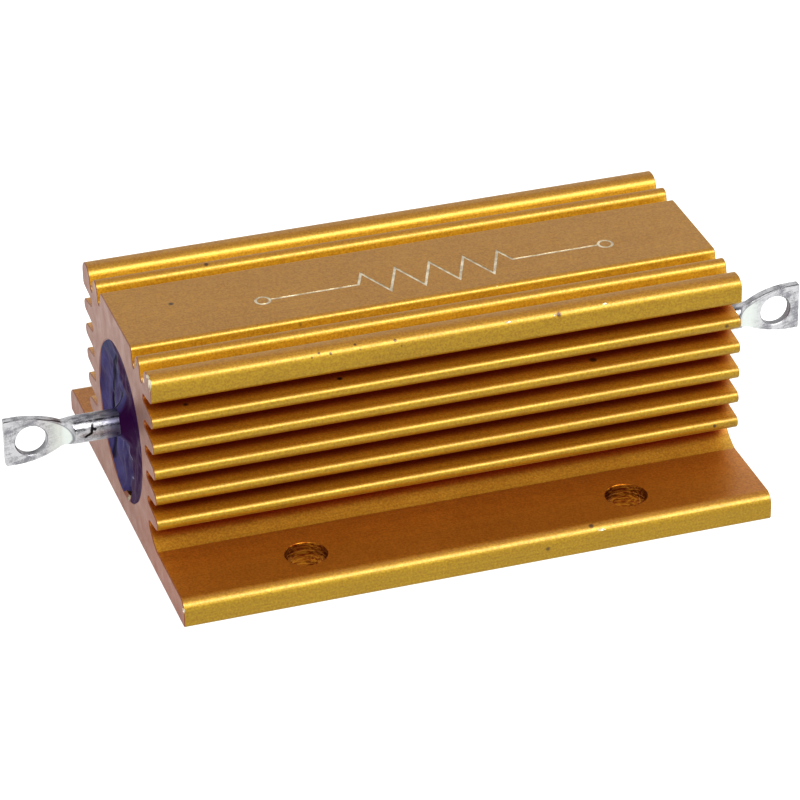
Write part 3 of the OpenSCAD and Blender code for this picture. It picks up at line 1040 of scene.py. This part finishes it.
@dataclass
class HousingExtrusion:
    """The finned extrusion with its flange, bore, drilled holes, sawn ends and marks of use."""

    half_length: float
    half_width: float
    height: float
    flange_top: float = 2.95
    flange_round: float = 1.3
    foot_round: float = 0.3
    toe: Point2 = (14.781, 8.851)
    toe_radius: float = 6.109
    crease_round: float = 0.05
    slot_y: float = 10.85
    slot_round: float = 0.5
    slot_z: tuple[float, ...] = (4.85, 7.85, 10.85, 13.85, 16.85, 19.85)
    fin_y: float = 13.2
    fin_round: float = 0.7
    rail_foot: Point3 = (13.25, 21.25, 0.65)
    top_rounds: tuple[tuple[float, float, float, bool, int], ...] = (
        (12.6, 1.3, 1.3, False, 14),
        (12.25, 1.3, 1.3, False, 12),
        (10.225, 1.7, 0.5, True, 8),
        (8.65, 0.95, 0.85, False, 18),
        (7.075, 1.7, 0.5, True, 8),
        (5.75, 0.8, 0.6, False, 12),
    )
    bore_radius: float = 8.5
    bore_z: float = 11.25
    bore_bevel: float = 0.3
    bore_sides: int = 120
    saw_break: float = 0.08
    glint: Point2 = (66.0, 106.0)
    hole_at: Point2 = (17.5, 18.5)
    hole_radius: float = 2.2
    hole_chamfer: float = 0.3
    chamfer_depths: Point2 = (0.1, 0.06)
    hole_rings: Point2 = (0.035, 0.02)
    hole_steps: int = 14
    hole_sides: int = 72
    panel_top: float = 23.4
    symbol_x: Point2 = (-15.5, 20.5)
    symbol_y: float = -1.2
    symbol_lead: float = 9.5
    symbol_peaks: int = 9
    symbol_height: float = 4.6
    symbol_width: float = 0.28
    symbol_ring: float = 0.9
    symbol_sides: int = 28
    symbol_depth: float = 0.03
    crease: float = 32.0
    knock_seed: float = 3.7
    marks_of_use: tuple[tuple[Point3, Point3], ...] = (
        ((-31.95, -13.55, 22.95), (0.32, 0.42, 0.75)),
        ((-31.95, -12.9, 23.4), (0.3, 0.45, 0.28)),
        ((-31.95, -11.3, 22.2), (0.16, 0.28, 0.3)),
        ((-31.9, -8.5, 22.6), (0.14, 0.3, 0.2)),
        ((-31.95, -1.35, 2.85), (0.45, 0.6, 0.32)),
        ((7.6, -6.2, 23.4), (0.5, 0.16, 0.12)),
        ((6.2, -13.6, 23.15), (0.35, 0.12, 0.12)),
        ((11.2, -13.7, 23.1), (0.22, 0.12, 0.14)),
        ((16.8, -13.5, 23.3), (0.3, 0.14, 0.1)),
        ((29.2, -13.75, 6.95), (0.16, 0.12, 0.12)),
        ((13.0, -23.3, 2.4), (0.4, 0.14, 0.12)),
        ((-31.95, -23.3, 2.0), (0.2, 0.3, 0.3)),
    )

    def rounds(self) -> list[Round]:
        """Lists the circles of the section. A top round is y, drop from the top, radius, hollow, steps.

        Returns:
            The circles, anticlockwise from the lower right.
        """
        reach = self.toe_radius - self.crease_round
        drop = self.toe[1] - self.flange_top - self.crease_round
        crease_y = self.toe[0] - sqrt(reach**2 - drop**2)
        foot, edge, slot = self.foot_round, self.flange_round, self.slot_round
        side = [
            Round(self.half_width - foot, foot, foot, steps=4),
            Round(self.half_width - edge, self.flange_top - edge, edge, steps=14),
            Round(crease_y, self.flange_top + self.crease_round, self.crease_round, hollow=True, steps=3),
            Round(*self.toe, self.toe_radius, hollow=True, steps=16),
        ]
        for low, high in zip(self.slot_z, self.slot_z[1:]):
            side.append(Round(self.slot_y, low, slot, hollow=True, steps=8))
            side.append(Round(self.fin_y, (low + high) / 2, self.fin_round, steps=18))
        side.append(Round(self.slot_y, self.slot_z[-1], slot, hollow=True, steps=8))
        side.append(Round(*self.rail_foot, steps=10))
        side += [Round(y, self.height - drop, *rest) for y, drop, *rest in self.top_rounds]
        return side + [r.mirrored() for r in reversed(side)]

    def stations(self, step: float, at_end: float, inside: float) -> list[Point2]:
        """Returns x and a size at both ends of the extrusion and one step in from each."""
        far = self.half_length
        return [(-far, at_end), (-far + step, inside), (far - step, inside), (far, at_end)]

    def solid(self) -> Shape:
        """Sweeps the section along X with broken edges at the sawn ends, and with the bore.

        Returns:
            The closed form.
        """
        shape, outline = Shape(), belt(self.rounds())
        rings, bores = [], []
        for x, inset in self.stations(self.saw_break, self.saw_break, 0.0):
            ring = [Vector((x, p[0] - out[0] * inset, p[1] - out[1] * inset)) for p, out in outline]
            rings.append(shape.ring(ring))
        shape.skin(rings, (1, 0, 2))
        bevel = self.bore_bevel
        for x, radius in self.stations(bevel, self.bore_radius + bevel, self.bore_radius):
            ring = around(self.bore_sides, lambda a: (x, radius * cos(a), self.bore_z + radius * sin(a)))
            bores.append(shape.ring(ring))
        first = len(shape.slots)
        shape.skin(bores, (1, 2, 1))
        # Painted highlight: bevel faces within the glint's angles take the bright bare finish.
        for k in range(self.bore_sides):
            if self.glint[0] < 360 * k / self.bore_sides < self.glint[1]:
                shape.slots[first + k] = 3
        for outer, inner in ((rings[0], bores[0]), (rings[-1], bores[-1])):
            numbers = outer + inner
            loops = [[shape.points[i] for i in outer], [shape.points[i] for i in inner]]
            for triangle in tessellate_polygon(loops):
                shape.face(tuple(numbers[i] for i in triangle), 1)
        return shape

    def drills(self, material: Material) -> list[Object]:
        """Makes the four drills, whose wall keeps the rings that a drill leaves.

        Args:
            material: finish of the cut wall.

        Returns:
            The drills, as closed objects.
        """
        radius, chamfer, steps = self.hole_radius, self.hole_chamfer, self.hole_steps
        low, high = self.chamfer_depths[0], self.flange_top - self.chamfer_depths[1]
        even, wandering = self.hole_rings
        rings = [(radius + chamfer, low - chamfer), (radius, low)]
        for k in range(1, steps):
            rings.append((radius + even * (k % 2) + wandering * sin(2.3 * k), mix(low, high, k / steps)))
        rings += [(radius, high), (radius + chamfer, high + chamfer)]
        made = []
        for x in (-self.hole_at[0], self.hole_at[0]):
            for y in (-self.hole_at[1], self.hole_at[1]):
                shape = lathe(rings, self.hole_sides, Matrix.Translation((x, y, 0)))
                made.append(shape.object(f"drill_{len(made)}", [material]))
        return made

    def symbol(self, material: Material) -> list[Object]:
        """Makes the strokes of a resistor's circuit symbol, to be engraved along the panel.

        Args:
            material: finish of the engraved strokes.

        Returns:
            The zigzag with its leads and the two rings at their ends, as closed objects.
        """
        (left, right), middle, lead = self.symbol_x, self.symbol_y, self.symbol_lead
        start, pitch = left + lead, (right - left - 2 * lead) / self.symbol_peaks
        path = [(left, middle), (start, middle)]
        for k in range(self.symbol_peaks):
            path.append((start + (k + 0.5) * pitch, middle + self.symbol_height / 2 * (-1) ** k))
        path += [(right - lead, middle), (right, middle)]
        floor, top = self.panel_top - self.symbol_depth, self.height
        strokes = [ribbon(path, self.symbol_width, floor, top)]
        inner, outer = self.symbol_ring - self.symbol_width, self.symbol_ring
        rings = [(outer, floor), (outer, top), (inner, top), (inner, floor)]
        for x in (left - outer, right + outer):
            turn = Matrix.Translation((x, middle, 0))
            strokes.append(lathe(rings, self.symbol_sides, turn, hollow=True))
        return [stroke.object(f"stroke_{i}", [material]) for i, stroke in enumerate(strokes)]

    def knocks(self, material: Material) -> list[Object]:
        """Makes the lumps that use has knocked out of the edges.

        Args:
            material: finish of the bare metal that they leave.

        Returns:
            The lumps, as closed objects.
        """
        made = []
        for i, (centre, radii) in enumerate(self.marks_of_use):
            lump = pebble(Vector(centre), Vector(radii), self.knock_seed * i)
            made.append(lump.object(f"knock_{i}", [material]))
        return made

    def build(self) -> Object:
        """Builds, cuts and dresses the housing.

        Returns:
            The housing.
        """
        gold, sawn = GoldAnodise().material(), SawnAnodise().material()
        drilled, bare = DrilledAnodise().material(), BARE_AND_GLINT.material()
        piece = self.solid().object("housing_extrusion", [gold, sawn, drilled, bare])
        carve(piece, self.drills(drilled) + self.symbol(bare) + self.knocks(bare))
        soften(piece, self.crease)
        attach(piece, BODY)
        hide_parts("housing")
        return piece


# ---------------------------------------------------------------- seals and terminals


class End(Enum):
    """The two ends of the resistor, by the sign of X."""

    LEFT = -1
    RIGHT = 1


@dataclass
class EndSeal:
    """Poured seal that closes the bore: dished, lumpy, lapped over the bevel and crept along the pin."""

    end: End
    inner_x: float
    radius: float
    rim_x: float = 31.6
    lip: float = 0.27
    axis_z: float = 11.25
    pin_radius: float = 1.5
    dish: float = 0.4
    bowl_power: float = 3.0
    creep: float = 1.0
    creep_reach: float = 1.6
    lumps: tuple[tuple[float, float, float, float], ...] = ((0.45, 0.32, 3.1, 0.34), (1.3, 0.9, 7.7, 0.14))
    gap: Point2 = (264.0, 9.0)
    gap_depth: float = 0.8
    gap_from: Point2 = (0.86, 0.97)
    bare_top: Point2 = (88.0, 24.0)
    rings: int = 40
    sides: int = 144
    crease: float = 50.0

    def level(self, share: float, angle: float) -> float:
        """Gives the depth of the seal's face below the rim.

        Args:
            share: 0 at the pin, 1 at the rim.
            angle: direction from the axis, 0 towards +Y.

        Returns:
            The depth in millimetres.
        """
        from_pin = share * (self.radius - self.pin_radius)
        bowl = self.dish * (1 - share**self.bowl_power)
        climb = self.creep * max(0.0, 1 - from_pin / (self.creep_reach * self.creep)) ** 2
        y = (self.pin_radius + from_pin) * cos(angle)
        z = (self.pin_radius + from_pin) * sin(angle)
        lump = 0.0
        for across, up, seed, size in self.lumps:
            lump += noise.noise(Vector((y * across, z * up, seed * self.end.value))) * size
        near_gap = 1 - smooth(0.0, self.gap[1], apart(angle * 180 / pi, self.gap[0]))
        pit = self.gap_depth * near_gap * smooth(*self.gap_from, share)
        return bowl - climb - lump * (1 - share**6) + pit

    def lap(self, angle: float) -> float:
        """Gives how far the seal laps over the bevel in a direction.

        Args:
            angle: direction from the axis, 0 towards +Y.

        Returns:
            The lap in millimetres.
        """
        ragged = 0.8 + 0.4 * noise.noise(Vector((4 * cos(angle), 4 * sin(angle), 1.7 * self.end.value)))
        degree, (middle, reach) = angle * 180 / pi, self.bare_top
        bare = 1 - smooth(reach * 0.6, reach, abs(degree - middle))
        past_gap = smooth(0.0, self.gap[1], apart(degree, self.gap[0]))
        return self.lip * min(1.0, ragged) * (1 - bare) * past_gap

    def loop(self, shape: Shape, spot: Callable[[float], Point2]) -> list[int]:
        """Adds one ring of points round the axis.

        Args:
            shape: the form that gets the ring.
            spot: gives the radius and the distance from the middle of the housing at an angle.

        Returns:
            The number of each point.
        """

        def place(angle: float) -> Point3:
            """Returns the point at an angle."""
            radius, x = spot(angle)
            return (self.end.value * x, radius * cos(angle), self.axis_z + radius * sin(angle))

        return shape.ring(around(self.sides, place))

    def build(self, material: Material) -> Object:
        """Builds and dresses the seal.

        Args:
            material: the seal's finish.

        Returns:
            The seal.
        """

        def face(angle: float) -> Point2:
            """Returns the radius and the distance at an angle, on the ring of this share."""
            lap = self.lap(angle) * share**8
            return (radius + lap, self.rim_x + lap - self.level(share, angle))

        shape = Shape()
        loops = [self.loop(shape, lambda angle: (self.pin_radius, self.inner_x))]
        for k in range(self.rings + 1):
            share = k / self.rings
            radius = mix(self.pin_radius, self.radius, share)
            loops.append(self.loop(shape, face))
        for x in (self.rim_x - 1.0, self.inner_x):
            loops.append(self.loop(shape, lambda angle: (self.radius, x)))
        shape.skin(loops + loops[:1])
        name = self.end.name.lower()
        piece = shape.object(f"poured_seal_{name}", [material])
        soften(piece, self.crease)
        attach(piece, BODY)
        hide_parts(f"end_seal_{name}")
        return piece


@dataclass
class Terminal:
    """Round pin pressed flat into a flared lug with a hole."""

    end: End
    inner_x: float
    tip_x: float
    axis_z: float = 11.25
    pin_radius: float = 1.5
    press_x: float = 38.3
    press_round: float = 1.3
    flat: float = 0.45
    neck: float = 1.4
    wide: float = 2.65
    flare_end: float = 43.35
    edge_round: float = 0.1
    neck_ease: Point2 = (2.0, 0.0)
    face_ease: Point2 = (0.6, 1.2)
    rim_ease: Point2 = (0.6, 0.8)
    rise_ease: Point2 = (1.0, 3.0)
    trimmed_x: float = 40.0
    hole_x: float = 41.55
    hole_radius: float = 1.7
    hole_sides: int = 72
    outline_rise: float = 0.0
    hole_rise: float = 0.0
    quarter: int = 14
    shares: Point3 = (0.5, 0.3, 0.2)
    rim_steps: tuple[int, ...] = (8, 9, 10)
    crease: float = 30.0

    def pressed(self, x: float, ease: Point2) -> float:
        """Returns a share that eases from 0 before the press line to 1 after it, at those distances."""
        return smooth(self.press_x - ease[0], self.press_x + ease[1], x)

    def thickness(self, x: float) -> float:
        """Gives half the thickness, which is less where the press has come down on the pin.

        Args:
            x: place along the terminal.

        Returns:
            Half the thickness in millimetres.
        """
        if x >= self.press_x:
            return self.flat
        back = self.press_x - x
        if back >= self.press_round:
            return self.pin_radius
        return self.flat + self.press_round - sqrt(self.press_round**2 - back**2)

    def half_height(self, x: float) -> float:
        """Gives half the height of the outline.

        Args:
            x: place along the terminal.

        Returns:
            Half the height in millimetres.
        """
        if x <= self.press_x:
            return mix(self.pin_radius, self.neck, self.pressed(x, self.neck_ease))
        span = self.flare_end - self.press_x
        rise = self.wide - self.neck
        radius = (span**2 + rise**2) / (2 * rise)
        back = max(0.0, self.flare_end - x)
        return self.wide - radius + sqrt(radius**2 - back**2)

    def quadrant(self, x: float) -> list[Point2]:
        """Gives a quarter of the cross-section: a share of its points on the face, the corner and the top.

        Args:
            x: place along the terminal.

        Returns:
            Points (y, z) from (thickness, 0) to (0, height).
        """
        t, h = min(self.thickness(x), self.pin_radius), self.half_height(x)
        share = self.pressed(x, self.face_ease)
        chord = sqrt(max(0.0, h * h - min(t, h) ** 2))
        c, (face, corner, top) = self.edge_round, self.shares
        points = []
        for k in range(self.quarter + 1):
            s = k / self.quarter
            if s < face:
                y1, z1 = min(t, h), chord * (s / face)
                y2, z2 = t, (h - c) * (s / face)
            else:
                angle = mix(atan2(chord, min(t, h)), pi / 2, (s - face) / (1 - face))
                y1, z1 = h * cos(angle), h * sin(angle)
                turn, past = min(1.0, (s - face) / corner) * pi / 2, s - (face + corner)
                y2 = t - c + c * cos(turn) if past <= 0 else (t - c) * (1 - past / top)
                z2 = h - c + c * sin(turn)
            points.append((mix(y1, y2, share), mix(z1, z2, share)))
        return points

    def section(self, x: float) -> list[Point2]:
        """Gives the whole cross-section.

        Args:
            x: place along the terminal.

        Returns:
            Points (y, z) round it.
        """
        quarter = self.quadrant(x)
        half = quarter + [(-y, z) for y, z in reversed(quarter[:-1])]
        return half + [(y, -z) for y, z in reversed(half[1:-1])]

    def stations(self) -> list[float]:
        """Lists the places along the terminal that get a ring, close together where it changes.

        Returns:
            The places, from the inside out.
        """
        places = [self.inner_x, self.inner_x + 2, 31.0, 33.0, 35.0, 36.4]
        places += [mix(36.6, 38.6, k / 20) for k in range(21)]
        places += [mix(38.8, self.tip_x - self.edge_round, k / 30) for k in range(31)]
        return places + [self.tip_x - 0.04, self.tip_x]

    def punch(self) -> Object:
        """Makes the punch of the lug's hole, with the small rounding that it leaves.

        Returns:
            The punch, as a closed object.
        """
        centre = Matrix.Translation((self.end.value * self.hole_x, 0, self.axis_z + self.hole_rise))
        wide, edge = self.hole_radius + 0.2, self.flat - 0.08
        rings = [(wide, -self.flat - 0.12), (self.hole_radius, -edge)]
        rings += [(self.hole_radius, edge), (wide, self.flat + 0.12)]
        turn = centre @ Matrix.Rotation(pi / 2, 4, "X")
        return lathe(rings, self.hole_sides, turn).object("punch", [PUNCHED.material()])

    def build(self, material: Material) -> Object:
        """Builds and dresses the terminal.

        Args:
            material: the terminal's finish.

        Returns:
            The terminal.
        """
        shape, side, stations, loops = Shape(), self.end.value, self.stations(), []
        for x in stations:
            lift = self.outline_rise * self.pressed(x, self.rise_ease)
            inset = self.edge_round * smooth(self.tip_x - self.edge_round, self.tip_x, x)
            points = []
            for y, z in self.section(x):
                if x > self.trimmed_x:
                    y *= 1 - inset / max(self.flat, abs(y))
                    z *= 1 - inset / max(self.wide, abs(z))
                points.append(Vector((side * x, y, self.axis_z + z + lift)))
            loops.append(shape.ring(points))
            # The marks place the painted shade along the lug's rim.
            for step in self.rim_steps:
                for corner in (step, 2 * self.quarter - step):
                    shape.marks[loops[-1][corner]] = self.pressed(x, self.rim_ease)
        shape.skin(loops)
        for loop, x, lift in ((loops[0], stations[0], 0.0), (loops[-1], stations[-1], self.outline_rise)):
            shape.fan(loop, Vector((side * x, 0, self.axis_z + lift)))
        name = self.end.name.lower()
        piece = shape.object(f"pressed_terminal_{name}", [material])
        carve(piece, [self.punch()])
        soften(piece, self.crease)
        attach(piece, BODY)
        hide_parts(f"terminal_{name}")
        return piece


# ---------------------------------------------------------------- inner pieces


@dataclass
class WoundCore:
    """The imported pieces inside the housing, which keep their own meshes."""

    def dress(self) -> list[str]:
        """Gives each inner node its finish.

        Returns:
            The nodes' names.
        """
        done = []
        for inner in Inner:
            node, finish = inner.value
            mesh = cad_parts[node].data
            material = finish.material()
            if not mesh.materials:
                mesh.materials.append(material)
            for i in range(len(mesh.materials)):
                mesh.materials[i] = material
            done.append(node)
        return done


# ---------------------------------------------------------------- studio


@dataclass
class Studio:
    """Pale floor, soft light and the camera."""

    camera_at: Point3 = (-115.412, -361.191, 225.629)
    azimuth: float = -17.533
    elevation: float = 29.880
    roll: float = -0.933
    lens: float = 184.41
    sensor: float = 36.0
    ambient: float = 0.76
    key_radiance: float = 7.3
    key_azimuth: float = 158.0
    key_elevation: float = 46.0
    key_distance: float = 0.6
    key_size: Point2 = (0.62, 0.2)
    key_aim: Point3 = (0, 0, 0.012)
    clip: Point2 = (0.01, 20)
    floor_colour: Colour = (0.25, 0.25, 0.25)
    floor_glow: float = 0.68
    floor_half: float = 3000.0
    floor_z: float = -0.02

    def camera(self) -> None:
        """Places the camera and makes it the scene's."""
        a, e, r = radians(self.azimuth), radians(self.elevation), radians(self.roll)
        back = Vector((sin(a) * cos(e), -cos(a) * cos(e), sin(e)))
        flat_right = Vector((cos(a), sin(a), 0))
        flat_up = back.cross(flat_right)
        right = flat_right * cos(r) + flat_up * sin(r)
        up = back.cross(right)
        data = bpy.data.cameras.new("camera")
        data.lens, data.sensor_width, data.sensor_fit = self.lens, self.sensor, "HORIZONTAL"
        data.clip_start, data.clip_end = self.clip
        view = bpy.data.objects.new("camera", data)
        turn = Matrix((right, up, back)).transposed().to_4x4()
        view.matrix_world = Matrix.Translation(Vector(self.camera_at) * MM) @ turn
        bpy.context.scene.collection.objects.link(view)
        bpy.context.scene.camera = view

    def key(self) -> None:
        """Adds the soft rectangular light, its azimuth taken from +Y towards +X."""
        data = bpy.data.lights.new("key", "AREA")
        data.shape = "RECTANGLE"
        data.size, data.size_y = self.key_size
        data.energy = self.key_radiance * pi * self.key_size[0] * self.key_size[1]
        light = bpy.data.objects.new("key", data)
        a, e = radians(self.key_azimuth), radians(self.key_elevation)
        aim = Vector((sin(a) * cos(e), cos(a) * cos(e), sin(e)))
        light.location = aim * self.key_distance + Vector(self.key_aim)
        light.rotation_euler = aim.to_track_quat("Z", "Y").to_euler()
        bpy.context.scene.collection.objects.link(light)

    def floor(self) -> None:
        """Lays the floor, nearly white, a little lit from within so that shadows stay faint."""
        material = MaterialNodes("studio_floor").done(
            {
                "Base Color": self.floor_colour,
                "Roughness": 1.0,
                "Specular IOR Level": 0.0,
                "Emission Color": WHITE,
                "Emission Strength": self.floor_glow,
            }
        )
        shape, half = Shape(), self.floor_half
        corners = (-half, -half), (half, -half), (half, half), (-half, half)
        shape.face(tuple(shape.ring([Vector((x, y, self.floor_z)) for x, y in corners])))
        shape.object("studio_floor", [material])

    def build(self) -> None:
        """Builds the studio."""
        scene = bpy.context.scene
        scene.view_settings.view_transform = "Standard"
        scene.view_settings.look = "High Contrast"
        world = bpy.data.worlds.new("studio")
        world.use_nodes = True
        sky = world.node_tree.nodes["Background"]
        sky.inputs["Color"].default_value = (*WHITE, 1)
        sky.inputs["Strength"].default_value = self.ambient
        scene.world = world
        self.floor()
        self.key()
        self.camera()


# ---------------------------------------------------------------- the resistor


def measured(node: str) -> Point3:
    """Measures a round CAD node at one end of the housing.

    Args:
        node: name of the node.

    Returns:
        Its inner and its outer distance along X and its radius, in millimetres.
    """
    low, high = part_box(node)
    near, far = sorted((abs(low.x) / MM, abs(high.x) / MM))
    return near, far, high.y / MM


def report(piece: Object) -> None:
    """Logs a finished piece."""
    LOG.info("%s: %d faces", piece.name, len(piece.data.polygons))


def main() -> None:
    """Builds each sub-assembly in order."""
    logging.basicConfig(level=logging.INFO, format="%(name)s: %(message)s")
    Studio().build()
    _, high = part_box("housing")
    housing = HousingExtrusion(half_length=high.x / MM, half_width=high.y / MM, height=high.z / MM)
    report(housing.build())
    seal_finish, terminal_finish = BlueSeal().material(), TinnedSteel().material()
    rises = {End.LEFT: (-0.14, -0.2), End.RIGHT: (0.12, 0.05)}
    for end in End:
        near, _, radius = measured(f"end_seal_{end.name.lower()}")
        report(EndSeal(end, inner_x=near, radius=radius).build(seal_finish))
        near, far, _ = measured(f"terminal_{end.name.lower()}")
        outline, hole = rises[end]
        lug = Terminal(end, inner_x=near, tip_x=far, outline_rise=outline, hole_rise=hole)
        report(lug.build(terminal_finish))
    for name in WoundCore().dress():
        LOG.info("%s: finished", name)
    bpy.context.view_layer.update()


if __name__ == "__main__":
    main()
